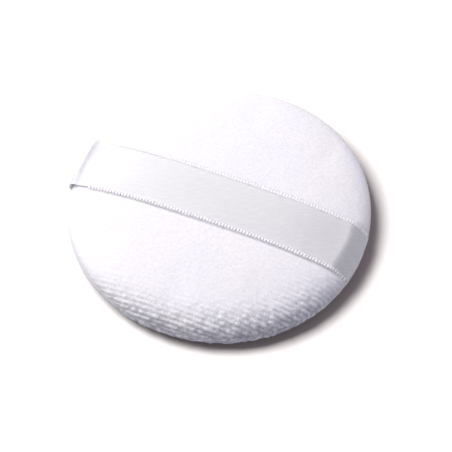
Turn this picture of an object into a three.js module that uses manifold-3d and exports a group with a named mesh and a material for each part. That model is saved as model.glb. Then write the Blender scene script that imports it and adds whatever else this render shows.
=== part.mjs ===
// A round cotton velour powder puff with a satin ribbon strap across its back.
// Millimetres, +Z up. The puff lies on its powdering face at Z = 0, centred on the Z axis,
// and the ribbon runs along X.

import * as THREE from "three";
import { mergeVertices } from "three/addons/utils/BufferGeometryUtils.js";
import Module from "manifold-3d";

const wasm = await Module();
wasm.setup();

// Pad
const padDiameter = 80;
const frontDepth = 7.2; // from the rest face up to the rim seam
const backHeight = 7.2; // from the rim seam up to the top of the crown
const crownPower = 2.9; // superellipse power of the section, where 2 is a plain ellipse
const restFlat = 0.45; // how much of the front's crown its own weight presses flat
const coverThickness = 1.6; // velour, ground and pile together

// Rim seam, where each cover's edge is turned into the pad
const allowanceWidth = 5;
const allowanceThickness = 1;
const seamGap = 0.3; // between the two turned edges
const rimRoll = 0.4; // radius of each cover's fold at the rim

// Stitches
const threadDiameter = 0.3;
const stitchInset = 3; // from the rim to the stitch line
const stitchCount = 44; // needle holes round the whole rim
const closingCount = 7; // those of the turning gap, which is sewn shut by hand
const loopReach = 0.45; // from a hole's centre to each leg of a thread's loop
const loopDepth = 0.35; // how far each loop reaches past the middle of the seam
const threadTail = 1.5; // loose end beyond the last hole

// Ribbon
const ribbonWidth = 16;
const ribbonThickness = 0.4;
const ribbonTail = 4.6; // caught in the seam at each end, measured from the rim
const ribbonBend = 0.6; // radius where it turns into the seam
const ribbonFold = 0.9; // size of the rounded fold at the slack left end
const ribbonSlack = 7; // last stretch before the left rim, which stands off the crown

// Fit and fineness
const clearance = 0.3;
const roundSegments = 44;
const outerRows = 9;
const innerRows = 5;
const ribbonSteps = 36;
const widthSteps = 6;
const bendSteps = 3;
const threadSides = 4;

const padRadius = padDiameter / 2;
const stitchRadius = padRadius - stitchInset;
const stitchAngle = (2 * Math.PI) / stitchCount;
const holeRadius = loopReach + threadDiameter + clearance / 2;
const allowanceTop = seamGap / 2 + allowanceThickness;
const threadHeight = allowanceTop + clearance + threadDiameter / 2;

// The pad's section is measured from the seam: a radius, and a height away from the seam.
function crownPoint(radius, height, angle) {
  const flatten = 2 / crownPower;
  const across = Math.sign(Math.cos(angle)) * Math.abs(Math.cos(angle)) ** flatten;
  const up = Math.sin(angle) ** flatten;
  return new THREE.Vector2(radius * across, height * up);
}

function angleAtHeight(share) {
  return Math.asin(share ** (crownPower / 2));
}

// Points of a crown from the axis out to where it is lowest above the seam, cut flat at the top.
function crownPoints(radius, top, flat, lowest, rows) {
  const height = top + flat;
  const from = angleAtHeight(top / height);
  const to = angleAtHeight(lowest / height);
  const points = flat > 0 ? [new THREE.Vector2(0, top)] : [];
  for (let row = 0; row <= rows; row++) {
    const angle = THREE.MathUtils.lerp(from, to, row / rows);
    points.push(crownPoint(radius, height, angle));
  }
  points[0].x = 0;
  return points;
}

// A quarter round that leads from a cover's side to the underside of its turned edge.
function rollPoints(side) {
  const points = [];
  for (let step = 1; step <= bendSteps; step++) {
    const angle = (step / bendSteps) * (Math.PI / 2);
    const inward = rimRoll * (1 - Math.cos(angle));
    const down = rimRoll * Math.sin(angle);
    points.push(new THREE.Vector2(side.x - inward, side.y - down));
  }
  return points;
}

// One cover from its crown, round the rolled rim and the turned edge, back to its inner crown.
function coverSection(top, flat) {
  const outer = crownPoints(padRadius, top, flat, seamGap / 2 + rimRoll, outerRows);
  const roll = rollPoints(outer.at(-1));
  const cutEdge = padRadius - allowanceWidth;
  const edge = [
    new THREE.Vector2(cutEdge, seamGap / 2),
    new THREE.Vector2(cutEdge, allowanceTop),
  ];
  const inner = crownPoints(padRadius - coverThickness, top - coverThickness, flat, allowanceTop, innerRows);
  return [...outer, ...roll, ...edge, ...inner.reverse()];
}

// The foam disc's upper or lower half, with a step that clears the turned edges and stitches.
function foamSection(top, flat) {
  const lining = coverThickness + clearance;
  const step = threadHeight + threadDiameter / 2 + clearance;
  const crown = crownPoints(padRadius - lining, top - lining, flat, step, innerRows);
  const waist = padRadius - allowanceWidth - clearance;
  return [...crown, new THREE.Vector2(waist, step)];
}

const mirrored = (points) => points.map((point) => new THREE.Vector2(point.x, -point.y));

// Turns a section about Z. The points run up the outside, so that the faces point out.
function turned(points) {
  return new THREE.LatheGeometry(points, roundSegments).rotateX(Math.PI / 2);
}

function solidFrom(geometry) {
  const bare = geometry.clone();
  bare.deleteAttribute("normal");
  bare.deleteAttribute("uv");
  const merged = mergeVertices(bare, 1e-4);
  const vertProperties = merged.getAttribute("position").array;
  const triVerts = new Uint32Array(merged.index.array);
  return new wasm.Manifold(new wasm.Mesh({ numProp: 3, vertProperties, triVerts }));
}

function geometryFrom(solid) {
  const { vertProperties, triVerts } = solid.getMesh();
  const geometry = new THREE.BufferGeometry();
  geometry.setAttribute("position", new THREE.BufferAttribute(vertProperties, 3));
  geometry.setIndex(new THREE.BufferAttribute(triVerts, 1));
  geometry.computeVertexNormals();
  return geometry;
}

// Square needle holes through both turned edges, with their corners along and across the seam.
function needleHoles() {
  const depth = 2 * (allowanceTop + clearance);
  const holes = [];
  for (let hole = 0; hole < stitchCount; hole++) {
    const prism = new THREE.CylinderGeometry(holeRadius, holeRadius, depth, 4);
    prism.rotateX(Math.PI / 2).translate(stitchRadius, 0, 0).rotateZ(hole * stitchAngle);
    holes.push(solidFrom(prism));
  }
  return wasm.Manifold.union(holes);
}

// How much the ribbon draws in at a distance from its middle line to follow the round rim.
const bowAt = (across) => Math.sqrt(1 - (across / padRadius) ** 2);

// The room that the ribbon's tails press for themselves between the two turned edges.
function tailPockets() {
  const tailEnd = (padRadius - ribbonTail) * bowAt(ribbonWidth / 2);
  const length = 2 * (padRadius - tailEnd + clearance);
  const height = ribbonThickness + 2 * clearance;
  const pockets = [-1, 1].map((side) => {
    const box = new THREE.BoxGeometry(length, ribbonWidth + 2 * clearance, height);
    return solidFrom(box.translate(side * padRadius, 0, 0));
  });
  return wasm.Manifold.union(pockets);
}

// The ribbon's middle line from one tail to the other, seen along Y.
function ribbonLine() {
  const lift = clearance + ribbonThickness / 2;
  const side = padRadius + lift;
  const top = backHeight + lift;
  const leaveShare = (padRadius - ribbonSlack) / side;
  const leaveAngle = Math.acos(leaveShare ** (crownPower / 2));
  const leave = crownPoint(side, top, Math.PI - leaveAngle);
  const slope = (top / side) * ((leaveShare * top) / leave.y) ** (crownPower - 1);
  const foldHeight = leave.y - slope * (side + leave.x);
  const bendAngle = angleAtHeight(ribbonBend / top);

  const line = new THREE.Path();
  line.moveTo(ribbonTail - padRadius, 0);
  line.absarc(ribbonBend - side, ribbonBend, ribbonBend, -Math.PI / 2, -Math.PI, true);
  line.lineTo(-side, foldHeight - ribbonFold);
  line.quadraticCurveTo(-side, foldHeight, ribbonFold - side, foldHeight + slope * ribbonFold);
  for (let step = 0; step <= ribbonSteps; step++) {
    const angle = THREE.MathUtils.lerp(Math.PI - leaveAngle, bendAngle, step / ribbonSteps);
    const point = crownPoint(side, top, angle);
    line.lineTo(point.x, point.y);
  }
  line.absarc(side - ribbonBend, ribbonBend, ribbonBend, 0, -Math.PI / 2, true);
  line.lineTo(padRadius - ribbonTail, 0);
  return line.getPoints(bendSteps);
}

// The outline of a strip of even thickness along a line.
function stripShape(line, thickness) {
  const above = [];
  const below = [];
  line.forEach((point, index) => {
    const before = line[Math.max(index - 1, 0)];
    const after = line[Math.min(index + 1, line.length - 1)];
    const into = point.clone().sub(before).normalize();
    const out = after.clone().sub(point).normalize();
    const along = into.clone().add(out).normalize();
    const mitre = Math.max(along.dot(into), along.dot(out));
    const normal = new THREE.Vector2(-along.y, along.x).multiplyScalar(thickness / 2 / mitre);
    above.push(point.clone().add(normal));
    below.push(point.clone().sub(normal));
  });
  return new THREE.Shape([...below, ...above.reverse()]);
}

function ribbonStrip() {
  const shape = stripShape(ribbonLine(), ribbonThickness);
  const across = { depth: ribbonWidth, steps: widthSteps, bevelEnabled: false };
  const strip = new THREE.ExtrudeGeometry(shape, across);
  strip.rotateX(Math.PI / 2).translate(0, ribbonWidth / 2, 0);
  const place = strip.getAttribute("position");
  for (let index = 0; index < place.count; index++) {
    place.setX(index, place.getX(index) * bowAt(place.getY(index)));
  }
  return strip;
}

// A path that runs straight from corner to corner, with every corner at an equal step.
class CornerPath extends THREE.Curve {
  constructor(corners) {
    super();
    this.corners = corners;
  }

  getPointAt(share) {
    return this.corners[Math.round(share * (this.corners.length - 1))].clone();
  }

  getTangentAt(share) {
    const last = this.corners.length - 1;
    const index = Math.round(share * last);
    const here = this.corners[index];
    const into = here.clone().sub(this.corners[Math.max(index - 1, 0)]).normalize();
    const out = this.corners[Math.min(index + 1, last)].clone().sub(here).normalize();
    return into.add(out).normalize();
  }
}

function threadAlong(corners) {
  const section = new THREE.Shape().absarc(0, 0, threadDiameter / 2, 0, 2 * Math.PI);
  return new THREE.ExtrudeGeometry(section, {
    steps: corners.length - 1,
    curveSegments: threadSides / 2,
    extrudePath: new CornerPath(corners),
  });
}

// A place by a needle hole: along the seam, outward across it, and up from its middle.
function byHole(hole, along, across, up) {
  const place = new THREE.Vector3(stitchRadius + across, along, up);
  return place.applyAxisAngle(new THREE.Vector3(0, 0, 1), hole * stitchAngle);
}

const gapCentre = stitchCount / 4; // the turning gap is at the back, midway between the ribbon's ends
const firstClosing = Math.round(gapCentre - (closingCount - 1) / 2);
const firstMachine = firstClosing + closingCount;
const lastMachine = firstClosing + stitchCount - 1;

// Lockstitch: at each hole the needle thread's loop hangs along the seam and hooks the bobbin
// thread's loop, which stands across the seam.
function needleCorners() {
  const corners = [byHole(firstMachine, -threadTail, 0, threadHeight)];
  for (let hole = firstMachine; hole <= lastMachine; hole++) {
    corners.push(byHole(hole, -loopReach, 0, threadHeight));
    corners.push(byHole(hole, -loopReach, 0, -loopDepth));
    corners.push(byHole(hole, loopReach, 0, -loopDepth));
    corners.push(byHole(hole, loopReach, 0, threadHeight));
  }
  corners.push(byHole(lastMachine, threadTail, 0, threadHeight));
  return corners;
}

function bobbinCorners() {
  const corners = [byHole(firstMachine, -threadTail, -loopReach, -threadHeight)];
  for (let hole = firstMachine; hole <= lastMachine; hole++) {
    corners.push(byHole(hole, 0, -loopReach, -threadHeight));
    corners.push(byHole(hole, 0, -loopReach, loopDepth));
    corners.push(byHole(hole, 0, loopReach, loopDepth));
    corners.push(byHole(hole, 0, loopReach, -threadHeight));
  }
  corners.push(byHole(lastMachine, threadTail, loopReach, -threadHeight));
  return corners;
}

// Running stitch: over, down through a hole, under, and up through the next.
function closingCorners() {
  const corners = [byHole(firstClosing, -threadTail, 0, threadHeight)];
  let height = threadHeight;
  for (let hole = firstClosing; hole < firstMachine; hole++) {
    corners.push(byHole(hole, 0, 0, height));
    height = -height;
    corners.push(byHole(hole, 0, 0, height));
  }
  corners.push(byHole(firstMachine - 1, threadTail, 0, height));
  return corners;
}

function piece(name, geometry, color, roughness) {
  const mesh = new THREE.Mesh(geometry, new THREE.MeshStandardMaterial({ color, roughness, metalness: 0 }));
  mesh.name = name;
  return mesh;
}

const velourWhite = 0xf7f4f4;
const satinWhite = 0xf2f1f8;
const foamCream = 0xf1ead8;
const threadWhite = 0xf5f3f0;

const holes = needleHoles();
const cuts = holes.add(tailPockets());
const backProfile = coverSection(backHeight, 0).reverse();
const frontProfile = mirrored(coverSection(frontDepth, restFlat));
const foamProfile = [
  ...mirrored(foamSection(frontDepth, restFlat)),
  ...foamSection(backHeight, 0).reverse(),
];

const frontCover = solidFrom(turned(frontProfile)).subtract(cuts);
const backCover = solidFrom(turned(backProfile)).subtract(cuts);
const ribbon = solidFrom(ribbonStrip()).subtract(holes);

const puff = new THREE.Group();
puff.position.z = frontDepth;
puff.add(piece("front_cover", geometryFrom(frontCover), velourWhite, 0.95));
puff.add(piece("back_cover", geometryFrom(backCover), velourWhite, 0.95));
puff.add(piece("foam_core", turned(foamProfile), foamCream, 0.9));
puff.add(piece("ribbon_strap", geometryFrom(ribbon), satinWhite, 0.35));
puff.add(piece("needle_thread", threadAlong(needleCorners()), threadWhite, 0.6));
puff.add(piece("bobbin_thread", threadAlong(bobbinCorners()), threadWhite, 0.6));
puff.add(piece("closing_thread", threadAlong(closingCorners()), threadWhite, 0.6));

const part = new THREE.Group();
part.name = "powder_puff";
part.add(puff);

export default part;
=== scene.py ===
# A round white velour powder puff with a satin ribbon strap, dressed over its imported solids.
# Metres, +Z up. The puff lies on its powdering face, and the ribbon runs along X.

import math

import bpy
import numpy as np
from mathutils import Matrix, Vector
from mathutils.bvhtree import BVHTree


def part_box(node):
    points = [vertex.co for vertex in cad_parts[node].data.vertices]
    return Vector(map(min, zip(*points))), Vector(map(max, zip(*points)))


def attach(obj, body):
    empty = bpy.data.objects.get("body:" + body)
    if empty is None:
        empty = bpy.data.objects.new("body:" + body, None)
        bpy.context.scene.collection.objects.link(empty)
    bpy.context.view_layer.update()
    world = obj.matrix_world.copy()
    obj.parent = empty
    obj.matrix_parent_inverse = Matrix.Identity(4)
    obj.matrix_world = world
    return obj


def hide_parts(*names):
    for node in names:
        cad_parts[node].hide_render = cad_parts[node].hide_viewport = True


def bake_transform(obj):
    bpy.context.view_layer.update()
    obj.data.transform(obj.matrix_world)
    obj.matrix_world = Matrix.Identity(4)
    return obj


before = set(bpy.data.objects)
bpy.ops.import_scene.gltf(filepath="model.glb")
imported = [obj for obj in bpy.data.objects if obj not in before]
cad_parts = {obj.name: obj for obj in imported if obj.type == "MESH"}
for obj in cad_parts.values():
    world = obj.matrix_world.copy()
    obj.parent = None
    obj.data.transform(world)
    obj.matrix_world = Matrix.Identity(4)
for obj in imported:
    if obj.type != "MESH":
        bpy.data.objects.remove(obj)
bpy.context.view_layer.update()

MM = 0.001
TINY = 1e-12  # keeps a division finite

# Pad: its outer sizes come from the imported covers
back_low, back_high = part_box("back_cover")
front_low, front_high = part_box("front_cover")
PAD_RADIUS = (back_high.x - back_low.x) / 2
SEAM_Z = (back_low.z + front_high.z) / 2
BACK_HEIGHT = back_high.z - SEAM_Z
FRONT_DEPTH = SEAM_Z - front_low.z
CROWN_POWER = 2.9  # superellipse power of the section, where 2 is a plain ellipse
SECTION_STEPS = 3000  # points of a section, close enough to measure lengths on
REST_FLAT = 0.45 * MM  # how much of the front's crown is pressed flat by what it lies on
REST_BLEND = 0.3 * MM  # softness of the edge of that flat
FOLD_FILL = 0.2 * MM  # how far the left rim swells into the ribbon's slack fold
FOLD_FILL_SPREAD = 0.22  # half width of that swell, in radians

# Slow waves of the rim: how many go round it, and their cosine and sine as shares of the radius
RIM_WAVES = ((1, 0.0, 0.008), (2, -0.0045, 0.009), (3, -0.0067, -0.006))

# Covers
COVER_THICKNESS = 1.6 * MM
ALLOWANCE_WIDTH = 5 * MM  # of the edge that each cover turns into the pad
ALLOWANCE_THICKNESS = 1 * MM
SEAM_GAP = 0.16 * MM  # between the two turned edges
RIM_ROLL = 0.25 * MM  # radius of each cover's fold at the rim
ROLL_STEPS = 3
INNER_ROWS = 5  # rings of the lining

# Cloth simulation of the covers
CLOTH_RINGS = 37
FINER = 4  # fine steps for each simulated one
CLOTH_FRAMES = 20
CLOTH_QUALITY = 8
CLOTH_PRESSURE = 8.0
CLOTH_MASS = 0.05
MOST_SWELL = 0.6 * MM
SWELL_EASING = 12  # rounds of averaging that take small buckles out of the swell
FILL_EVENNESS = 0.75  # least share of the filling's push, at its thin spots
FILL_LUMP = 13 * MM  # size of the filling's lumps
FILL_SHIFT = 500 * MM  # place in the noise that the lumps are taken from

# Velour: rows of loops on a ribbed ground
RIB_PITCH = 1.4 * MM
RIB_HEIGHT = 0.5 * MM  # where the bend at the rim opens the pile
RIB_GROUND = 0.4  # share of that height which lies below the smooth crown
RIB_ROUNDNESS = 0.8  # power of a rib's section: below 1 its crest is broad
RIB_WANDER = 0.16  # how far a rib strays sideways, as a share of the pitch
WANDER_LENGTH = 9 * MM  # over this length
CROWN_PILE = 0.04  # share of the ribs' height where the cloth lies flat
OPENING = (29 * MM, 41 * MM)  # the pile opens between these distances from the middle of the cloth
NAP = math.radians(113)  # direction in which the pile is brushed, so that the rim opposite opens it
NAP_OPENING = (16 * MM, 37 * MM)  # between these distances against the nap
LOOP_PITCH = 1.15 * MM
LOOP_SWELL = 0.75  # how much a rib thickens and thins from loop to loop
BRIDGE_PITCH = 0.9 * MM  # loops that lean over and close the gap between two ribs
BRIDGE_FULL = 0.6  # how far the fullest of them close it
TUFT_HEIGHT = 0.03 * MM
TUFT_SIZE = 0.7 * MM
FINE_LOOP = 0.75 * MM  # one loop of the pile along its rib
RIM_FADE = 0.15 * MM  # the relief dies out over this length before the roll
PRESSED = 0.12 * MM  # how deep the ribbon sinks into the pile
PRESSED_PILE = 0.3  # share of the pile's height that is left under it
PRESSED_EDGE = 0.3 * MM  # half width of the step at the ribbon's edge
PRESSED_BESIDE = 2.4 * MM  # the taut end of the ribbon also draws the cloth down this far beside it
GROOVE_DEPTH = 0.25 * MM  # the pile gives way under the loops along the ribbon's edges
GROOVE_WIDTH = 0.45 * MM
GROOVE_END = 2 * MM  # it runs out over this length before the rim
GROOVE_SLACK = (8 * MM, 30 * MM)  # and towards the slack end, between these distances from the middle

# Foam core
FOAM_RINGS = 40
FOAM_STEP = 0.35  # share of each half's height where the foam turns in to its waist
FOAM_PORES = 0.12 * MM  # depth of its uneven skin
PORE_SIZE = 1.1 * MM
FOAM_SEED = 31

# Ribbon
RIBBON_WIDTH = 16 * MM  # with the loops of its feather edge
RIBBON_BODY = 14.5 * MM  # without them
RIBBON_THICKNESS = 0.26 * MM
RIBBON_LIFT = 0.3 * MM  # from the cover to the middle of the ribbon
RIBBON_TAIL = 4.6 * MM  # caught in the seam at each end
RIBBON_BEND = 0.6 * MM  # radius where it turns into the seam
BEND_POINTS = 8
RIBBON_STEP = 0.35 * MM
RIBBON_COLUMNS = 33
LINE_EASING = 3  # rounds of averaging that ease the corners of its line
RIBBON_ROUND = 0.14 * MM  # width over which its edge rounds off
ROUND_STEPS = 4
EDGE_SQUARE = 0.02  # square of the share of its thickness that is left at the very edge
RIBBON_EASE = 0.03  # the weave eases out by this share of its width in the middle
RIBBON_SPREAD = 0.06  # and by this share at its ends, pressed flat at the seam
SPREAD_FROM = 0.4  # share of the pad's radius where that spread begins
ON_CROWN = (0.5, 0.8)  # between these shares of its height the ribbon comes to lie on the swollen crown
CREASE = 35.6 * MM  # the right end is pulled straight from here down to the seam
LEAST_BOW = 0.1  # keeps the straight run's measure finite far beside the ribbon

# The ribbon's slack fold
FOLD_LEAVE = 0.9  # share of the half length where the slack end leaves the crown
FOLD_ZONE = (34 * MM, 39 * MM)  # the fold takes its own shape between these distances from the middle
FOLD_FOOT = 2.5 * MM  # and gives it up over this height above the seam
FOLD_OUT = 0.36 * MM  # the fold's far corner stands out this far
FOLD_SKEW = 0.3 * MM  # and its near corner stands out this much more
FOLD_RISE = 0.5 * MM  # the far corner is raised this much
FOLD_DROP = 1.2 * MM  # and the near one hangs this much lower
FOLD_STRAIGHT = 0.5  # how far the fold cuts straight across the round rim
FOLD_LENGTH = 9 * MM  # of ribbon in the fold, where its feather edge is crushed flat

# Line of the slack end in millimetres: it rises into a small ridge, folds over and drops to the seam
FOLD_LINE = ((-38.0, 4.25), (-38.7, 4.5), (-39.35, 4.35), (-39.7, 3.75), (-39.85, 2.8), (-40.1, 1.5))

# The ribbon's weave and feather edge
WEAVE_SLANT = math.radians(21)  # of the weave's faint lines to the ribbon's length
WEAVE_LINE = (2.4, 0.42)  # their length and width, in millimetres
PICOT_PITCH = 0.88 * MM
PICOT_GAUGE = 0.33 * MM
PICOT_SPREAD = 0.33 * MM
PICOT_LENGTHS = (0.9, 1.08)  # shortest and longest loop, as shares of the feather edge's width
PICOT_LEAN = 0.07 * MM  # how far a loop may lean along the edge
PICOT_FULLNESS = 0.7  # power of a loop's outline, where 1 is a plain arch
PICOT_DROOP = 0.3  # how far a loop's tip sinks from the ribbon's upper face towards its middle
PICOT_ROOT = 0.5 * MM  # each loop starts this far inside the woven edge, on its upper face
PICOT_FLAT = 0.45  # height of a loop's thread, pressed flat, as a share of its width
PICOT_STOP = 1.2 * MM  # from the last loop to the right tail
PICOT_STEPS = 8
PICOT_SIDES = 6
PICOT_SEEDS = ((1, 41), (-1, 42))  # side of the ribbon, and seed of the draws for its loops

# Colours
VELOUR_WARM = (0.930, 0.905, 0.915)
VELOUR_COOL = (0.900, 0.898, 0.935)
VELOUR_GRAIN = (0.55, 0.54, 0.58)
VELOUR_LINT = (0.62, 0.58, 0.56)
# painted shade between the ribs where the pile stands open, darkest in the deepest places
PAINTED_VALLEY_SHADE = (0.32, 0.325, 0.36)
# painted speckle of shade in the open pile
PEPPER_SHADE = (0.36, 0.365, 0.40)
VALLEY_SHADE_EVEN = 0.22  # share of the painted shade in the valleys that grows evenly with their depth
VALLEY_SHADE_DEEPEST = 0.72  # and share of that painted shade that gathers in the deepest places
VALLEY_SHADE_POWER = 2.2
SATIN_SHADE = (0.800, 0.785, 0.910)
SATIN_LIGHT = (0.895, 0.882, 0.995)
PICOT_WHITE = (0.955, 0.95, 0.965)
THREAD_WHITE = (0.88, 0.86, 0.84)
FIBRE_LIGHTER = 1.06  # how much lighter a thread's loose fibres are
FOAM_CREAM = (0.91, 0.86, 0.73)
# painted shade in the foam's pores
FOAM_PORE_SHADE = (0.74, 0.68, 0.53)
WHITE = (1, 1, 1, 1)

# Floor and world
FLOOR_HALF = 2.0
FLOOR_FADE = (0.10, 0.22)  # the paper runs out to plain white between these distances from the pad
FLOOR_SEEN = (0.47, 0.41, 0.385, 1)
FLOOR_BOUNCE = (0.09, 0.085, 0.095, 1)  # for what the floor throws back on the pad
WORLD_COLOUR = (0.90, 0.865, 1.0, 1)
WORLD_STRENGTH = 0.475

# Lamps: direction from the pad, width and height of the soft box, power and colour
LAMP_DISTANCE = 1.0
PAD_LAMPS = {
    "key": ((-0.838, 0.029, 0.545), (1.5, 0.5), 11.1, (1.0, 0.985, 0.935)),
    "fill": ((-0.385, 0.562, 0.732), (0.5, 0.42), 2.6, (1.0, 0.98, 1.0)),
    "back": ((0.113, 0.533, 0.839), (0.25, 0.25), 0.5, (1.0, 0.98, 1.0)),
    "reflector": ((0.85, -0.45, 0.27), (0.8, 0.5), 1.0, (0.94, 0.97, 1.0)),
}
FLOOR_LAMP = ((-0.294, -0.255, 0.921), (0.45, 0.45), 29.0, (0.86, 0.95, 1.0))

# View
VIEW_AZIMUTH = math.radians(22.2)
VIEW_ELEVATION = math.radians(54.5)
VIEW_DISTANCE = 1.2
FRAME_PIXELS = 452
FRAME_SPAN = 119.8 * MM  # width of the picture at the pad
PAD_PIXEL = (220.3, 215.4)  # where the pad's middle lies in the picture
SENSOR = 36.0


# Grids, noise and meshes


def disc_grid(rings):
    """A square grid bent into a disc of radius 1: x and y of its points, as two square arrays."""
    steps = np.linspace(-1, 1, 2 * rings + 1)
    a, b = np.meshgrid(steps, steps, indexing="ij")
    wide = np.abs(a) >= np.abs(b)
    reach = np.where(wide, a, b)
    swing = np.pi / 4 * np.where(wide, b, a) / np.where(reach == 0, 1, reach)
    along = reach * np.cos(swing)
    across = reach * np.sin(swing)
    return np.where(wide, along, across), np.where(wide, across, along)


def grid_faces(rows, columns):
    """Four-sided faces of a grid of points, as an array."""
    index = np.arange(rows * columns).reshape(rows, columns)
    corners = (index[:-1, :-1], index[1:, :-1], index[1:, 1:], index[:-1, 1:])
    return np.stack(corners, axis=-1).reshape(-1, 4)


def grid_rim(rows, columns):
    """Indices of a grid's border, in order."""
    index = np.arange(rows * columns).reshape(rows, columns)
    sides = (index[:-1, 0], index[-1, :-1], index[:0:-1, -1], index[0, :0:-1])
    return np.concatenate(sides)


def finer_row(count, fine_count):
    """Weights that carry values from an even row of points to a finer one, by cubic steps."""
    place = np.linspace(0, count - 1, fine_count)
    base = np.minimum(place.astype(int), count - 2)
    t = place - base
    shares = (
        (-t + 2 * t**2 - t**3) / 2,
        (2 - 5 * t**2 + 3 * t**3) / 2,
        (t + 4 * t**2 - 3 * t**3) / 2,
        (t**3 - t**2) / 2,
    )
    weights = np.zeros((fine_count, count))
    for offset, share in zip((-1, 0, 1, 2), shares):
        column = np.clip(base + offset, 0, count - 1)
        np.add.at(weights, (np.arange(fine_count), column), share)
    return weights


def eased(values, rounds):
    """Values on a grid, averaged with their neighbours. The border stays."""
    for _ in range(rounds):
        inner = values[1:-1, 1:-1]
        beside = values[:-2, 1:-1] + values[2:, 1:-1] + values[1:-1, :-2] + values[1:-1, 2:]
        values[1:-1, 1:-1] = (inner + beside / 4) / 2
    return values


def smooth_step(low, high, value):
    t = np.clip((value - low) / (high - low), 0, 1)
    return t * t * (3 - 2 * t)


def soft_noise(u, v, cell, seed):
    """Soft random hills from -1 to 1, about one to a cell."""
    size = 256
    table = np.random.default_rng(seed).uniform(-1, 1, (size, size))
    column = np.floor(u / cell).astype(int)
    row = np.floor(v / cell).astype(int)
    across = smooth_step(0, 1, u / cell - column)
    up = smooth_step(0, 1, v / cell - row)

    def at(i, j):
        return table[(column + i) % size, (row + j) % size]

    lower = at(0, 0) * (1 - across) + at(1, 0) * across
    upper = at(0, 1) * (1 - across) + at(1, 1) * across
    return lower * (1 - up) + upper * up


def unit(vectors):
    return vectors / np.linalg.norm(vectors, axis=-1, keepdims=True)


def new_object(name, points, faces):
    mesh = bpy.data.meshes.new(name)
    mesh.from_pydata(points.tolist(), [], faces)
    mesh.update()
    made = bpy.data.objects.new(name, mesh)
    bpy.context.scene.collection.objects.link(made)
    return made


def shade_smooth(made):
    made.data.polygons.foreach_set("use_smooth", [True] * len(made.data.polygons))


def add_vectors(mesh, name, values):
    """Keeps a vector for each point, such as its place on the flat cloth."""
    layer = mesh.attributes.new(name, "FLOAT_VECTOR", "POINT")
    layer.data.foreach_set("vector", np.asarray(values, np.float32).ravel())


def add_band(faces, ring, following):
    """Faces between two rings of as many points."""
    for i in range(len(ring)):
        j = (i + 1) % len(ring)
        faces.append((ring[j], ring[i], following[i], following[j]))


def add_halved_band(faces, ring, following):
    """Faces between a ring and one of half as many points."""
    count = len(following)
    for i in range(count):
        j = (i + 1) % count
        left, middle, right = ring[2 * i], ring[2 * i + 1], ring[2 * j]
        faces.append((middle, left, following[i]))
        faces.append((middle, following[i], following[j]))
        faces.append((right, middle, following[j]))


# The pad's crown


def crown_section(radius, height, lowest):
    """A crown's section from the axis down to lowest: length along the cloth, radius, height."""
    end = math.asin((lowest / height) ** (CROWN_POWER / 2))
    angle = np.linspace(math.pi / 2, end, SECTION_STEPS)
    out = radius * np.cos(angle).clip(0) ** (2 / CROWN_POWER)
    up = height * np.sin(angle) ** (2 / CROWN_POWER)
    out[0] = 0
    length = np.concatenate([[0], np.cumsum(np.hypot(np.diff(out), np.diff(up)))])
    return length, out, up


def rim_share(angle):
    """The rim's radius in each direction, as a share of the pad's mean radius."""
    share = np.ones_like(angle)
    for count, cosine, sine in RIM_WAVES:
        share += cosine * np.cos(count * angle) + sine * np.sin(count * angle)
    from_left = np.pi - np.abs(angle)
    return share + FOLD_FILL / PAD_RADIUS * np.exp(-((from_left / FOLD_FILL_SPREAD) ** 2))


def rim_stretch(angle, share):
    """How much the rim's waves stretch the pad at a share of its radius."""
    return 1 + (rim_share(angle) - 1) * share**2


class Crown:
    """A cover's smooth outer face as a square grid of points, with their places on the flat cloth."""

    def __init__(self, rings, height):
        x, y = disc_grid(rings)
        length, out, up = crown_section(PAD_RADIUS, height, SEAM_GAP / 2 + RIM_ROLL)
        self.count = 2 * rings + 1
        self.length = length[-1]
        self.cloth = np.stack([x * self.length, y * self.length], axis=-1)
        share = np.hypot(x, y)
        angle = np.arctan2(y, x)
        radius = np.interp(share * self.length, length, out)
        reach = radius * rim_stretch(angle, radius / PAD_RADIUS)
        place_up = np.interp(share * self.length, length, up)
        self.points = np.stack([reach * np.cos(angle), reach * np.sin(angle), place_up], axis=-1)

    def from_rim(self):
        """Length along the cloth from each point out to the rim."""
        return self.length - np.hypot(self.cloth[..., 0], self.cloth[..., 1])

    def normals(self):
        along = np.gradient(self.points, axis=0)
        across = np.gradient(self.points, axis=1)
        return unit(np.cross(along, across))


def trial_cloth(crown, seed):
    """A cover for the cloth simulation, held at its sewn rim and pushed unevenly by its filling."""
    faces = grid_faces(crown.count, crown.count).tolist()
    cover = new_object("cloth_trial", crown.points.reshape(-1, 3), faces)
    rim = cover.vertex_groups.new(name="rim")
    rim.add(grid_rim(crown.count, crown.count).tolist(), 1.0, "REPLACE")
    fill = cover.vertex_groups.new(name="fill")
    u, v = crown.cloth.reshape(-1, 2).T + FILL_SHIFT
    push = 0.5 + 0.5 * soft_noise(u, v, FILL_LUMP, seed)
    push = FILL_EVENNESS + (1 - FILL_EVENNESS) * push
    for index, weight in enumerate(push):
        fill.add([index], float(weight), "REPLACE")
    return cover


def simulated(cover):
    """The points of a trial cover after its filling has pressed it out."""
    modifier = cover.modifiers.new("cloth", "CLOTH")
    settings = modifier.settings
    settings.quality = CLOTH_QUALITY
    settings.mass = CLOTH_MASS
    settings.vertex_group_mass = "rim"
    settings.use_pressure = True
    settings.uniform_pressure_force = CLOTH_PRESSURE
    settings.vertex_group_pressure = "fill"
    settings.effector_weights.gravity = 0
    modifier.point_cache.frame_start = 1
    modifier.point_cache.frame_end = CLOTH_FRAMES
    scene = bpy.context.scene
    for step in range(1, CLOTH_FRAMES + 1):
        scene.frame_set(step)
    graph = bpy.context.evaluated_depsgraph_get()
    places = np.empty(3 * len(cover.data.vertices), np.float32)
    cover.evaluated_get(graph).data.vertices.foreach_get("co", places)
    scene.frame_set(1)
    return places.reshape(-1, 3)


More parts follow.
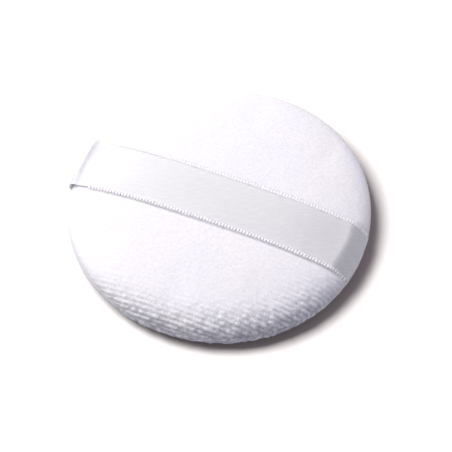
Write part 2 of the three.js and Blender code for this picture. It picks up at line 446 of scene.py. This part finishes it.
def swollen(crown, seed):
    """How far each point of a cover moves when its filling presses it out against the sewn rim."""
    cover = trial_cloth(crown, seed)
    move = simulated(cover) - crown.points.reshape(-1, 3)
    bpy.data.objects.remove(cover)
    far = np.linalg.norm(move, axis=1, keepdims=True)
    move *= np.minimum(1, MOST_SWELL / np.maximum(far, TINY))
    return eased(move.reshape(crown.points.shape), SWELL_EASING)


def stuffed_crown(height, seed):
    """A fine crown with the simulated swell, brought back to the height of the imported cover."""
    fine = Crown(CLOTH_RINGS * FINER, height)
    coarse = Crown(CLOTH_RINGS, height)
    move = swollen(coarse, seed)
    weights = finer_row(coarse.count, fine.count)
    fine.points += np.einsum("ai,bj,ijk->abk", weights, weights, move, optimize=True)
    fine.points[..., 2] *= height / fine.points[..., 2].max()
    return fine


# The pile


def pile_rows(u, v, seed):
    """Which rib a place lies on: whole numbers are crests, and the ribs wander a little."""
    return v / RIB_PITCH + RIB_WANDER * soft_noise(u, v, WANDER_LENGTH, seed)


def pile_fullness(u, row, seed):
    """How full the pile is, from 0 between the ribs to 1 on a thick loop of a rib."""
    ridge = np.abs(np.cos(np.pi * row)) ** RIB_ROUNDNESS
    loops = soft_noise(u, np.round(row) * LOOP_PITCH, LOOP_PITCH, seed)
    bridges = soft_noise(u, row * RIB_PITCH, BRIDGE_PITCH, seed + 7)
    full = ridge * (1 + LOOP_SWELL * loops) / (1 + LOOP_SWELL)
    return full + (1 - ridge) * BRIDGE_FULL * np.maximum(0, bridges)


def pressed_pile(crown, height):
    """The pile's height under the ribbon: flattened, and with a groove along the ribbon's edges."""
    half = RIBBON_WIDTH / 2
    beside = np.abs(crown.points[..., 1])
    free = smooth_step(half - PRESSED_EDGE, half + PRESSED_EDGE, beside)
    height = height * (PRESSED_PILE + (1 - PRESSED_PILE) * free) - PRESSED * (1 - free)
    groove = np.exp(-(((beside - half) / GROOVE_WIDTH) ** 2))
    groove *= 1 - smooth_step(*GROOVE_SLACK, -crown.points[..., 0])
    return height - GROOVE_DEPTH * groove * smooth_step(0, GROOVE_END, crown.from_rim())


def add_pile(crown, seed, under_ribbon):
    """Raises the pile on a cover: flat on the crown and open at the rim.

    Gives six values for each point, which the velour's material reads: its place on the flat cloth
    and its rib, then how deep the pile is there, which sets its painted shade, and how open it is.
    """
    u, v = crown.cloth[..., 0], crown.cloth[..., 1]
    row = pile_rows(u, v, seed)
    fullness = pile_fullness(u, row, seed + 1)
    against = -u * math.cos(NAP) - v * math.sin(NAP)
    opened = smooth_step(*OPENING, np.hypot(u, v)) * smooth_step(*NAP_OPENING, against)
    height = RIB_HEIGHT * (CROWN_PILE + (1 - CROWN_PILE) * opened) * (fullness - RIB_GROUND)
    height += TUFT_HEIGHT * soft_noise(u, v, TUFT_SIZE, seed + 3)
    height *= smooth_step(0, RIM_FADE, crown.from_rim())
    if under_ribbon:
        height = pressed_pile(crown, height)
    crown.points += crown.normals() * height[..., None]
    # mask of the painted shade between the ribs of the open pile
    painted_pile_shade = (1 - fullness) * opened
    return np.stack([u / MM, v / MM, row, painted_pile_shade, opened, np.zeros_like(u)], axis=-1)


def taut_run(x):
    """Height of the ribbon's straight run over the seam, from its crease on the shoulder to the rim."""
    side = PAD_RADIUS + RIBBON_LIFT
    top = BACK_HEIGHT + RIBBON_LIFT
    crease = top * (1 - (CREASE / side) ** CROWN_POWER) ** (1 / CROWN_POWER)
    return np.interp(x, (CREASE, side), (crease, RIBBON_BEND))


def press_shoulder(crown):
    """Presses the cover's shoulder down under the taut end of the ribbon."""
    x, y, z = np.moveaxis(crown.points, -1, 0)
    share = np.minimum(1, np.hypot(x, y) / PAD_RADIUS)
    bow = np.sqrt(np.maximum(LEAST_BOW, 1 - (y / PAD_RADIUS) ** 2))
    straight = x / bow / rim_stretch(np.arctan2(y, x), share)
    over = np.maximum(0, z + RIBBON_LIFT - taut_run(straight)) * (straight > CREASE)
    beside = 1 - smooth_step(RIBBON_BODY / 2, RIBBON_BODY / 2 + PRESSED_BESIDE, np.abs(y))
    crown.points[..., 2] -= over * beside


# Covers


def roll_rings():
    """Radius and height of each ring of a cover's rolled rim."""
    rings = []
    for step in range(1, ROLL_STEPS + 1):
        angle = step / ROLL_STEPS * math.pi / 2
        inward = RIM_ROLL * (1 - math.cos(angle))
        rings.append((PAD_RADIUS - inward, SEAM_GAP / 2 + RIM_ROLL * (1 - math.sin(angle))))
    return rings


def inner_rings(height):
    """Radius and height of the rings that follow: those of the turned edge, and those of the lining."""
    edge_top = SEAM_GAP / 2 + ALLOWANCE_THICKNESS
    cut_edge = PAD_RADIUS - ALLOWANCE_WIDTH
    length, out, up = crown_section(PAD_RADIUS - COVER_THICKNESS, height - COVER_THICKNESS, edge_top)
    edge = [(cut_edge, SEAM_GAP / 2), (cut_edge, edge_top), (out[-1], up[-1])]
    lining = []
    for row in range(1, INNER_ROWS + 1):
        place = length[-1] * (1 - row / (INNER_ROWS + 1))
        lining.append((np.interp(place, length, out), np.interp(place, length, up)))
    return edge, lining


def cover_mesh(crown, cloth, height):
    """A closed cover: its outer face, the rolled rim, the edge turned in at the seam and its lining."""
    points = [crown.points.reshape(-1, 3)]
    values = [cloth.reshape(-1, cloth.shape[-1])]
    faces = grid_faces(crown.count, crown.count).tolist()
    ring = grid_rim(crown.count, crown.count)
    rim = points[0][ring]
    rim_values = values[0][ring]
    used = len(points[0])
    edge, lining = inner_rings(height)
    rows = [(row, 1, add_band) for row in roll_rings() + edge]
    rows += [(row, 2, add_halved_band) for row in lining]
    every = 1
    for (radius, up), fewer, join in rows:
        every *= fewer
        place = rim[::every] * radius / PAD_RADIUS
        place[:, 2] = up
        points.append(place)
        values.append(rim_values[::every])
        following = np.arange(used, used + len(place))
        join(faces, ring.tolist(), following.tolist())
        ring = following
        used += len(place)
    points.append(np.array([[0, 0, height - COVER_THICKNESS]]))
    values.append(np.zeros((1, cloth.shape[-1])))
    for i in range(len(ring)):
        faces.append((int(ring[(i + 1) % len(ring)]), int(ring[i]), used))
    return np.concatenate(points), faces, np.concatenate(values)


def cover_object(name, points, faces, values):
    cover = new_object(name, points, faces)
    add_vectors(cover.data, "cloth", values[:, :3])
    # the mask of the painted shade between ribs, and how open the pile is
    add_vectors(cover.data, "painted_pile_shade", values[:, 3:])
    shade_smooth(cover)
    return cover


def make_back_cover():
    """The cover under the ribbon, and its smooth crown for the ribbon to lie on."""
    crown = stuffed_crown(BACK_HEIGHT, seed=11)
    smooth = crown.points.copy()
    cloth = add_pile(crown, seed=21, under_ribbon=True)
    press_shoulder(crown)
    points, faces, values = cover_mesh(crown, cloth, BACK_HEIGHT)
    points[:, 2] += SEAM_Z
    return cover_object("back_cover_velour", points, faces, values), smooth


def make_front_cover():
    """The powdering face, turned over and pressed flat where it lies."""
    height = FRONT_DEPTH + REST_FLAT
    crown = stuffed_crown(height, seed=12)
    cloth = add_pile(crown, seed=22, under_ribbon=False)
    points, faces, values = cover_mesh(crown, cloth, height)
    up = SEAM_Z - points[:, 2]
    points[:, 2] = (up + np.sqrt(up**2 + REST_BLEND**2)) / 2
    return cover_object("front_cover_velour", points, [face[::-1] for face in faces], values)


# Foam core


def foam_half(x, y, radius, height, side):
    """One crowned half of the foam: over the seam where side is 1, and below it where side is -1."""
    share = np.hypot(x, y)
    angle = np.arctan2(y, x)
    length, out, up = crown_section(radius, height, FOAM_STEP * height)
    reach = np.interp(share * length[-1], length, out)
    pores = FOAM_PORES * soft_noise(x * radius, y * radius, PORE_SIZE, FOAM_SEED + side)
    level = SEAM_Z + side * (np.interp(share * length[-1], length, up) + pores)
    return np.stack([reach * np.cos(angle), reach * np.sin(angle), level], axis=-1).reshape(-1, 3)


def make_foam():
    """The foam disc inside the covers, with a waist that clears the turned edges."""
    low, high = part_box("foam_core")
    radius = (high.x - low.x) / 2
    x, y = disc_grid(FOAM_RINGS)
    count = len(x)
    top = foam_half(x, y, radius, high.z - SEAM_Z, 1)
    bottom = foam_half(x, y, radius, SEAM_Z - low.z, -1)
    rim = grid_rim(count, count)
    waist = PAD_RADIUS - ALLOWANCE_WIDTH - SEAM_GAP
    angle = np.arctan2(y, x).ravel()[rim]
    ring = np.column_stack([waist * np.cos(angle), waist * np.sin(angle), np.full(len(rim), SEAM_Z)])
    upper = grid_faces(count, count)
    faces = upper.tolist() + (upper[:, ::-1] + len(top)).tolist()
    between = np.arange(len(rim)) + 2 * len(top)
    add_band(faces, rim.tolist(), between.tolist())
    add_band(faces, between.tolist(), (rim + len(top)).tolist())
    foam = new_object("foam_filling", np.concatenate([top, bottom, ring]), faces)
    shade_smooth(foam)
    return foam


# Ribbon


def ribbon_line():
    """The ribbon's middle line in the X-Z plane, from its left tail to its right one, over the seam."""
    side = PAD_RADIUS + RIBBON_LIFT
    top = BACK_HEIGHT + RIBBON_LIFT
    _, out, up = crown_section(side, top, RIBBON_BEND)
    left = out < FOLD_LEAVE * side
    left_x = -out[left][::-1]
    left_z = up[left][::-1]
    right = (out > 0) & (out < CREASE)
    bend = np.linspace(0, math.pi / 2, BEND_POINTS)
    turn_x = side - RIBBON_BEND * (1 - np.sin(bend))
    turn_z = RIBBON_BEND * (1 - np.cos(bend))
    tail = PAD_RADIUS - RIBBON_TAIL
    fold_x, fold_z = np.array(FOLD_LINE)[::-1].T * MM
    x = np.concatenate([[-tail], -turn_x, fold_x, left_x, out[right], turn_x[::-1], [tail]])
    z = np.concatenate([[0], turn_z, fold_z, left_z, up[right], turn_z[::-1], [0]])
    return smoothed_line(x, z)


def smoothed_line(x, z):
    """The line in even steps with its corners eased, and the length along it."""
    for _ in range(LINE_EASING):
        length = np.concatenate([[0], np.cumsum(np.hypot(np.diff(x), np.diff(z)))])
        count = int(length[-1] / RIBBON_STEP) + 1
        even = np.linspace(0, length[-1], count)
        x, z = np.interp(even, length, x), np.interp(even, length, z)
        x[1:-1] = (x[:-2] + 2 * x[1:-1] + x[2:]) / 4
        z[1:-1] = (z[:-2] + 2 * z[1:-1] + z[2:]) / 4
    return x, z, even


def crown_rise(smooth, x, y):
    """How far the stuffed crown stands over its plain form at each place."""
    count = len(smooth)
    plain = Crown((count - 1) // 2, BACK_HEIGHT).points
    faces = grid_faces(count, count).tolist()
    made = BVHTree.FromPolygons(smooth.reshape(-1, 3).tolist(), faces)
    bare = BVHTree.FromPolygons(plain.reshape(-1, 3).tolist(), faces)
    above = 10 * BACK_HEIGHT
    down = Vector((0, 0, -1))
    rise = np.zeros(x.shape)
    for place in np.ndindex(x.shape):
        start = Vector((x[place], y[place], above))
        here = made.ray_cast(start, down)[0]
        there = bare.ray_cast(start, down)[0]
        if here and there:
            rise[place] = here.z - there.z
    return rise


def ribbon_columns():
    """Places across the ribbon, closer together where its edges round off."""
    half = RIBBON_BODY / 2
    turn = np.linspace(0, math.pi / 2, ROUND_STEPS + 1)[1:]
    edge = half - RIBBON_ROUND * (1 - np.sin(turn))
    middle = np.linspace(RIBBON_ROUND - half, half - RIBBON_ROUND, RIBBON_COLUMNS)
    return np.concatenate([-edge[::-1], middle, edge])


def ribbon_sheet(smooth):
    """The ribbon's middle surface as a grid of points, with the length along it and the place across."""
    line_x, line_z, along = ribbon_line()
    across = ribbon_columns()
    bow = np.sqrt(1 - (across / PAD_RADIUS) ** 2)
    at_fold = (smooth_step(*FOLD_ZONE, -line_x) * smooth_step(0, FOLD_FOOT, line_z))[:, None]
    x = line_x[:, None] * (1 - (1 - bow) * (1 - FOLD_STRAIGHT * at_fold))
    to_end = smooth_step(SPREAD_FROM * PAD_RADIUS, PAD_RADIUS, np.abs(line_x))[:, None]
    y = across * (1 + RIBBON_EASE + (RIBBON_SPREAD - RIBBON_EASE) * to_end)
    z = np.broadcast_to(line_z[:, None], x.shape).copy()
    share = np.minimum(1, np.hypot(x, y) / PAD_RADIUS)
    x *= np.where(line_x[:, None] > 0, rim_stretch(np.arctan2(y, x), share), 1)
    height = BACK_HEIGHT + RIBBON_LIFT
    on_crown = smooth_step(ON_CROWN[0] * height, ON_CROWN[1] * height, z)
    z += on_crown * crown_rise(smooth, x, y)
    nearness = 0.5 - across / RIBBON_BODY  # 0 at the far edge and 1 at the near one
    x -= at_fold * (FOLD_OUT + FOLD_SKEW * nearness)
    z += at_fold * (FOLD_RISE - FOLD_DROP * nearness)
    return np.stack([x, y, z + SEAM_Z], axis=-1), along, across


def sheet_frames(sheet):
    """Unit directions along, across and out of a grid of points."""
    along = np.gradient(sheet, axis=0)
    across = np.gradient(sheet, axis=1)
    return unit(along), unit(across), unit(np.cross(along, across))


def ribbon_body(sheet, along, across):
    """The woven strip: two faces a thickness apart, closed at its edges.

    Gives its points, its faces, each point's place on the flat ribbon, and how many faces each side has.
    """
    rows, columns = sheet.shape[:2]
    out = sheet_frames(sheet)[2]
    into_round = np.maximum(0, np.abs(across) - RIBBON_BODY / 2 + RIBBON_ROUND) / RIBBON_ROUND
    half = RIBBON_THICKNESS / 2 * np.sqrt(np.maximum(1 - into_round**2, EDGE_SQUARE))
    upper = (sheet + out * half[None, :, None]).reshape(-1, 3)
    lower = (sheet - out * half[None, :, None]).reshape(-1, 3)
    top = grid_faces(rows, columns)
    faces = top.tolist() + (top[:, ::-1] + rows * columns).tolist()
    border = grid_rim(rows, columns)
    add_band(faces, border.tolist(), (border + rows * columns).tolist())
    place = np.zeros((rows, columns, 3))
    place[..., 0] = along[:, None] / MM
    place[..., 1] = across / MM
    flat = np.concatenate([place.reshape(-1, 3)] * 2)
    return np.concatenate([upper, lower]), faces, flat, len(top)


def loop_line(base, ahead, outward, up, rng):
    """The middle line of one loop of the feather edge, out from the ribbon's upper face and back."""
    turn = np.linspace(0, math.pi, PICOT_STEPS + 1)
    reach = (RIBBON_WIDTH - RIBBON_BODY) / 2 * rng.uniform(*PICOT_LENGTHS)
    lean = rng.uniform(-PICOT_LEAN, PICOT_LEAN)
    arch = np.sin(turn).clip(0) ** PICOT_FULLNESS
    along = lean * np.sin(turn) - np.cos(turn) * PICOT_SPREAD / 2
    across = arch * (PICOT_ROOT + reach - PICOT_GAUGE / 2) - PICOT_ROOT
    above = (1 - PICOT_DROOP * arch) * RIBBON_THICKNESS / 2
    return base + np.outer(along, ahead) + np.outer(across, outward) + np.outer(above, up)


def pressed_tube(line, up):
    """Rings of points round a line: a thread that is pressed flat."""
    forward = unit(np.gradient(line, axis=0))
    sideways = unit(np.cross(up, forward))
    lift = np.cross(forward, sideways)
    angle = np.linspace(0, 2 * math.pi, PICOT_SIDES, endpoint=False)[None, :, None]
    circle = np.cos(angle) * sideways[:, None] + PICOT_FLAT * np.sin(angle) * lift[:, None]
    return line[:, None] + circle * PICOT_GAUGE / 2


def add_tube_faces(faces, first_index):
    """Adds the faces of one loop's tube, closed at both ends, and gives the next free index."""
    count = (PICOT_STEPS + 1) * PICOT_SIDES
    rings = (first_index + np.arange(count)).reshape(-1, PICOT_SIDES).tolist()
    for ring, following in zip(rings[:-1], rings[1:]):
        add_band(faces, ring, following)
    faces.append(rings[0])
    faces.append(rings[-1][::-1])
    return first_index + count


def edge_loops(sheet, along, side, first_index, seed):
    """The feather edge: small thread loops that stand out from one edge of the ribbon."""
    column = -1 if side > 0 else 0
    ahead, outward, up = (direction[:, column] for direction in sheet_frames(sheet))
    edge = sheet[:, column]
    rng = np.random.default_rng(seed)
    points = []
    faces = []

    def at(values, place):
        return np.array([np.interp(place, along, values[:, axis]) for axis in range(3)])

    last = along[-1] - RIBBON_TAIL - PICOT_STOP
    for place in np.arange(RIBBON_TAIL + FOLD_LENGTH, last, PICOT_PITCH):
        directions = [at(values, place) for values in (ahead, outward * side, up)]
        line = loop_line(at(edge, place), *directions, rng)
        points.append(pressed_tube(line, directions[-1]).reshape(-1, 3))
        first_index = add_tube_faces(faces, first_index)
    return np.concatenate(points), faces


def make_ribbon(smooth):
    """The ribbon with both its feather edges as one mesh, and its length laid flat."""
    sheet, along, across = ribbon_sheet(smooth)
    body, faces, flat, side_faces = ribbon_body(sheet, along, across)
    body_faces = len(faces)
    parts = [body]
    for side, seed in PICOT_SEEDS:
        used = sum(len(part) for part in parts)
        loops, loop_faces = edge_loops(sheet, along, side, used, seed)
        parts.append(loops)
        faces += loop_faces
    points = np.concatenate(parts)
    ribbon = new_object("satin_ribbon", points, faces)
    place = np.zeros((len(points), 3))
    place[: len(flat)] = flat
    add_vectors(ribbon.data, "cloth", place)
    shade_smooth(ribbon)
    for material in (satin_face_material(), satin_back_material(), feather_edge_material()):
        ribbon.data.materials.append(material)
    material_index = np.zeros(len(faces), np.int32)
    material_index[side_faces : 2 * side_faces] = 1
    material_index[body_faces:] = 2
    ribbon.data.polygons.foreach_set("material_index", material_index)
    return ribbon, along[-1]


# Shader nodes


def new_material(name):
    material = bpy.data.materials.new(name)
    material.use_nodes = True
    tree = material.node_tree
    return material, tree, tree.nodes["Principled BSDF"]


def add_node(tree, kind, inputs=None, **settings):
    """A shader node with its settings and the values or links of its inputs."""
    made = tree.nodes.new(kind)
    for name, value in settings.items():
        setattr(made, name, value)
    for name, value in (inputs or {}).items():
        if isinstance(value, bpy.types.NodeSocket):
            tree.links.new(value, made.inputs[name])
        else:
            made.inputs[name].default_value = value
    return made


def set_values(shader, values):
    for name, value in values.items():
        shader.inputs[name].default_value = value


def cloth_place(tree):
    """Place on the flat cloth, in millimetres."""
    return add_node(tree, "ShaderNodeAttribute", attribute_name="cloth").outputs["Vector"]


def object_place(tree):
    """Place in the object's own frame, in metres."""
    return add_node(tree, "ShaderNodeTexCoord").outputs["Object"]


def noise(tree, place, scale, detail=2.0):
    made = add_node(tree, "ShaderNodeTexNoise", {"Vector": place, "Scale": scale, "Detail": detail})
    return made.outputs["Fac"]


def maths(tree, operation, first, second=0.0):
    return add_node(tree, "ShaderNodeMath", {0: first, 1: second}, operation=operation).outputs[0]


def separated(tree, vector):
    return add_node(tree, "ShaderNodeSeparateXYZ", {"Vector": vector}).outputs


def mixed(tree, factor, low, high):
    """A colour between two others, each of them plain or from a node."""
    made = add_node(tree, "ShaderNodeMix", data_type="RGBA")
    tree.links.new(factor, made.inputs["Factor"])
    for name, value in (("A", low), ("B", high)):
        socket = [s for s in made.inputs if s.name == name and s.type == "RGBA"][0]
        if isinstance(value, bpy.types.NodeSocket):
            tree.links.new(value, socket)
        else:
            socket.default_value = (*value, 1)
    return [s for s in made.outputs if s.type == "RGBA"][0]


def ranged(tree, value, source, target):
    """A value carried from one range to another, and held inside it."""
    inputs = {
        "Value": value,
        "From Min": source[0],
        "From Max": source[1],
        "To Min": target[0],
        "To Max": target[1],
    }
    return add_node(tree, "ShaderNodeMapRange", inputs).outputs["Result"]


def add_bump(tree, shader, height, strength, distance):
    inputs = {"Strength": strength, "Distance": distance, "Height": height}
    bump = add_node(tree, "ShaderNodeBump", inputs)
    tree.links.new(bump.outputs["Normal"], shader.inputs["Normal"])


def two_shaders(tree, factor, first, second):
    """One shader where the factor is 0, and another where it is 1."""
    inputs = {0: factor, 1: first.outputs[0], 2: second.outputs[0]}
    return add_node(tree, "ShaderNodeMixShader", inputs)


# Materials


def velour_colour(tree, place, painted_pile_shade, opened):
    """White cotton with faint mottling, grain and lint, and painted shade where its ribs stand open."""
    mottle = ranged(tree, noise(tree, place, scale=0.07, detail=3.0), (0.38, 0.62), (0, 1))
    colour = mixed(tree, mottle, VELOUR_WARM, VELOUR_COOL)
    grain = ranged(tree, noise(tree, place, scale=1.7), (0.35, 0.65), (0.22, 0))
    colour = mixed(tree, grain, colour, VELOUR_GRAIN)
    lint = ranged(tree, noise(tree, place, scale=1.1, detail=4.0), (0.74, 0.80), (0, 0.5))
    colour = mixed(tree, lint, colour, VELOUR_LINT)
    # painted shade in the valleys between the ribs
    even = maths(tree, "MULTIPLY", painted_pile_shade, VALLEY_SHADE_EVEN)
    deepest_shade = maths(tree, "MULTIPLY", maths(tree, "POWER", painted_pile_shade, VALLEY_SHADE_POWER), VALLEY_SHADE_DEEPEST)
    colour = mixed(tree, maths(tree, "ADD", even, deepest_shade), colour, PAINTED_VALLEY_SHADE)
    # painted speckle of shade, only where the pile stands open
    pepper_shade = ranged(tree, noise(tree, place, scale=1.9, detail=3.0), (0.46, 0.66), (0, 0.5))
    return mixed(tree, maths(tree, "MULTIPLY", pepper_shade, opened), colour, PEPPER_SHADE)


def loop_relief(tree, place, opened):
    """Fine relief of the pile: the crest of each rib, its loops in a row, and loose fibres."""
    parts = separated(tree, place)
    ridge = maths(tree, "COSINE", maths(tree, "MULTIPLY", parts["Z"], math.pi))
    rib = {"W": maths(tree, "ROUND", parts["Z"])}
    start = add_node(tree, "ShaderNodeTexWhiteNoise", rib, noise_dimensions="1D").outputs["Value"]
    along = maths(tree, "MULTIPLY", parts["X"], math.pi * MM / FINE_LOOP)
    loop = maths(tree, "SINE", maths(tree, "ADD", along, maths(tree, "MULTIPLY", start, math.pi)))
    bead = ranged(tree, maths(tree, "ABSOLUTE", loop), (0, 1), (0.5, 1.0))
    row = maths(tree, "MULTIPLY", maths(tree, "ABSOLUTE", ridge), bead)
    row = maths(tree, "MULTIPLY", row, ranged(tree, opened, (0, 1), (0.15, 1.0)))
    return maths(tree, "ADD", row, noise(tree, place, scale=3.2, detail=3.0))


def velour_material(name):
    """Brushed cotton loops: matt, with a soft bloom at its edges."""
    material, tree, shader = new_material(name)
    place = cloth_place(tree)
    # mask of the painted shade between ribs, and how open the pile is
    pile = add_node(tree, "ShaderNodeAttribute", attribute_name="painted_pile_shade").outputs["Vector"]
    parts = separated(tree, pile)
    colour = velour_colour(tree, place, painted_pile_shade=parts["X"], opened=parts["Y"])
    tree.links.new(colour, shader.inputs["Base Color"])
    rough = ranged(tree, noise(tree, place, scale=0.9), (0.3, 0.7), (0.88, 1.0))
    tree.links.new(rough, shader.inputs["Roughness"])
    set_values(shader, {"Specular IOR Level": 0.2, "Sheen Weight": 0.25, "Sheen Roughness": 0.5})
    set_values(shader, {"Sheen Tint": WHITE})
    add_bump(tree, shader, loop_relief(tree, place, parts["Y"]), strength=0.4, distance=0.2 * MM)
    return material


def satin_material(name, gloss):
    """Satin weave: faint slanted lines of long floats, crossed by fine uneven picks. Light passes it."""
    material, tree, shader = new_material(name)
    place = cloth_place(tree)
    lines = {"Vector": place, "Rotation": (0, 0, WEAVE_SLANT), "Scale": (*WEAVE_LINE, 1.0)}
    stretch = add_node(tree, "ShaderNodeMapping", lines, vector_type="TEXTURE")
    floats = noise(tree, stretch.outputs["Vector"], scale=1.0, detail=3.0)
    colour = mixed(tree, ranged(tree, floats, (0.3, 0.7), (0, 1)), SATIN_SHADE, SATIN_LIGHT)
    tree.links.new(colour, shader.inputs["Base Color"])
    set_values(shader, {"Specular IOR Level": gloss, "Sheen Weight": 0.1, "Sheen Roughness": 0.3})
    set_values(shader, {"Subsurface Weight": 1.0, "Subsurface Radius": (1, 1, 1)})
    set_values(shader, {"Subsurface Scale": 1.2 * MM})
    wave = {"Vector": place, "Scale": 3.2, "Distortion": 1.2, "Detail": 2.0}
    picks = add_node(tree, "ShaderNodeTexWave", wave).outputs["Fac"]
    add_bump(tree, shader, maths(tree, "ADD", floats, picks), strength=0.12, distance=0.03 * MM)
    return material, tree, shader


def satin_face_material():
    """The ribbon's upper face, with the soft gloss of its floats."""
    material, tree, shader = satin_material("satin_face", gloss=0.65)
    rough = ranged(tree, noise(tree, cloth_place(tree), scale=0.5), (0.3, 0.7), (0.15, 0.21))
    tree.links.new(rough, shader.inputs["Roughness"])
    return material


def satin_back_material():
    """The ribbon's dull back."""
    material, _, shader = satin_material("satin_back", gloss=0.3)
    set_values(shader, {"Roughness": 0.6})
    return material


def thread_material(name, colour, roughness, gloss):
    """Spun thread with fine fibres."""
    material, tree, shader = new_material(name)
    fibres = noise(tree, object_place(tree), scale=9000.0)
    lighter = tuple(min(1, channel * FIBRE_LIGHTER) for channel in colour)
    tree.links.new(mixed(tree, fibres, colour, lighter), shader.inputs["Base Color"])
    set_values(shader, {"Roughness": roughness, "Specular IOR Level": gloss, "Sheen Weight": 0.3})
    add_bump(tree, shader, fibres, strength=0.3, distance=0.03 * MM)
    return material


def feather_edge_material():
    """Thread of the feather edge: bright like the ribbon."""
    return thread_material("feather_edge_thread", PICOT_WHITE, roughness=0.38, gloss=0.65)


def sewing_thread_material():
    """Matt thread of the seam."""
    return thread_material("sewing_thread", THREAD_WHITE, roughness=0.6, gloss=0.5)


def foam_material():
    """Open-cell foam: pale yellow, full of small pores, with painted shade in them."""
    material, tree, shader = new_material("foam")
    cells = add_node(tree, "ShaderNodeTexVoronoi", {"Vector": object_place(tree), "Scale": 1400.0})
    pores = ranged(tree, cells.outputs["Distance"], (0.1, 0.6), (0, 1))
    # the pores are painted darker, as painted shade in their hollows
    tree.links.new(mixed(tree, pores, FOAM_PORE_SHADE, FOAM_CREAM), shader.inputs["Base Color"])
    set_values(shader, {"Roughness": 0.95})
    add_bump(tree, shader, pores, strength=0.8, distance=0.3 * MM)
    return material


# Stage


def seen_directly(tree):
    """1 for what is seen, also in a gloss or through a clear piece, and 0 for what only lights the pad."""
    rays = add_node(tree, "ShaderNodeLightPath").outputs
    seen = maths(tree, "MAXIMUM", rays["Is Camera Ray"], rays["Is Glossy Ray"])
    return maths(tree, "MAXIMUM", seen, rays["Is Transmission Ray"])


def floor_material():
    """White paper that keeps the shadow near the pad and runs out to plain white."""
    material, tree, shader = new_material("paper")
    tree.nodes.remove(shader)
    seen = add_node(tree, "ShaderNodeBsdfDiffuse", {"Color": FLOOR_SEEN})
    bounce = add_node(tree, "ShaderNodeBsdfDiffuse", {"Color": FLOOR_BOUNCE})
    white = add_node(tree, "ShaderNodeEmission", {"Color": WHITE, "Strength": 1.0})
    far = add_node(tree, "ShaderNodeVectorMath", {0: object_place(tree)}, operation="LENGTH")
    paper = two_shaders(tree, ranged(tree, far.outputs["Value"], FLOOR_FADE, (0, 1)), seen, white)
    surface = two_shaders(tree, seen_directly(tree), bounce, paper)
    tree.links.new(surface.outputs[0], tree.nodes["Material Output"].inputs["Surface"])
    return material


def make_floor():
    corners = FLOOR_HALF * np.array([(-1, -1, 0), (1, -1, 0), (1, 1, 0), (-1, 1, 0)])
    floor = new_object("floor", corners, [(0, 1, 2, 3)])
    floor.data.materials.append(floor_material())
    return floor


def make_world():
    """Even light from all round, which looks plain white where it is seen."""
    world = bpy.data.worlds.new("studio")
    bpy.context.scene.world = world
    world.use_nodes = True
    tree = world.node_tree
    light = tree.nodes["Background"]
    set_values(light, {"Color": WORLD_COLOUR, "Strength": WORLD_STRENGTH})
    white = add_node(tree, "ShaderNodeBackground", {"Color": WHITE, "Strength": 1.0})
    both = two_shaders(tree, seen_directly(tree), light, white)
    tree.links.new(both.outputs[0], tree.nodes["World Output"].inputs["Surface"])


def make_lamp(name, direction, size, power, colour):
    """A soft box of a width and height, in a direction from the pad."""
    data = bpy.data.lights.new(name, "AREA")
    data.shape = "RECTANGLE"
    data.size, data.size_y = size
    data.energy = power
    data.color = colour
    lamp = bpy.data.objects.new(name, data)
    bpy.context.scene.collection.objects.link(lamp)
    back = Vector(direction).normalized()
    lamp.location = Vector((0, 0, SEAM_Z)) + back * LAMP_DISTANCE
    lamp.rotation_euler = (-back).to_track_quat("-Z", "Y").to_euler()
    return lamp


def link_lamp(lamp, receiver, state):
    """Lets a lamp light one object only, or every object but that one."""
    group = bpy.data.collections.new(lamp.name + "_receivers")
    group.objects.link(receiver)
    group.collection_objects[0].light_linking.link_state = state
    lamp.light_linking.receiver_collection = group


def make_lamps(floor):
    """Soft boxes that light the pad, and a steep one that lights the floor and casts the shadow.

    The key stands low at the left, the fill and the back lamp behind, and the reflector at the right.
    """
    for name, lamp in PAD_LAMPS.items():
        link_lamp(make_lamp(name, *lamp), floor, "EXCLUDE")
    link_lamp(make_lamp("steep", *FLOOR_LAMP), floor, "INCLUDE")


def make_camera():
    data = bpy.data.cameras.new("camera")
    data.sensor_width = SENSOR
    data.lens = SENSOR * VIEW_DISTANCE / FRAME_SPAN
    camera = bpy.data.objects.new("camera", data)
    bpy.context.scene.collection.objects.link(camera)
    level = math.cos(VIEW_ELEVATION)
    sine, cosine = math.sin(VIEW_AZIMUTH), math.cos(VIEW_AZIMUTH)
    back = Vector((sine * level, -cosine * level, math.sin(VIEW_ELEVATION)))
    right = Vector((cosine, sine, 0))
    up = back.cross(right)
    pixel = FRAME_SPAN / FRAME_PIXELS
    aside = (FRAME_PIXELS / 2 - PAD_PIXEL[0]) * pixel
    below = (PAD_PIXEL[1] - FRAME_PIXELS / 2) * pixel
    camera.location = Vector((0, 0, SEAM_Z)) + back * VIEW_DISTANCE + right * aside + up * below
    camera.rotation_euler = (-back).to_track_quat("-Z", "Y").to_euler()
    bpy.context.scene.camera = camera


# Assembly

make_camera()
make_world()
make_lamps(make_floor())
bpy.context.scene.view_settings.view_transform = "Standard"

back_cover, smooth_crown = make_back_cover()
back_cover.data.materials.append(velour_material("back_velour"))
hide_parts("back_cover")
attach(back_cover, "pad")

front_cover = make_front_cover()
front_cover.data.materials.append(velour_material("front_velour"))
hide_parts("front_cover")
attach(front_cover, "pad")

foam = make_foam()
foam.data.materials.append(foam_material())
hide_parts("foam_core")
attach(foam, "pad")

ribbon, ribbon_length = make_ribbon(smooth_crown)
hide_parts("ribbon_strap")
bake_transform(ribbon)

sewing_thread = sewing_thread_material()
for name in ("needle_thread", "bobbin_thread", "closing_thread"):
    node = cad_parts[name]
    node.data.materials.clear()
    node.data.materials.append(sewing_thread)
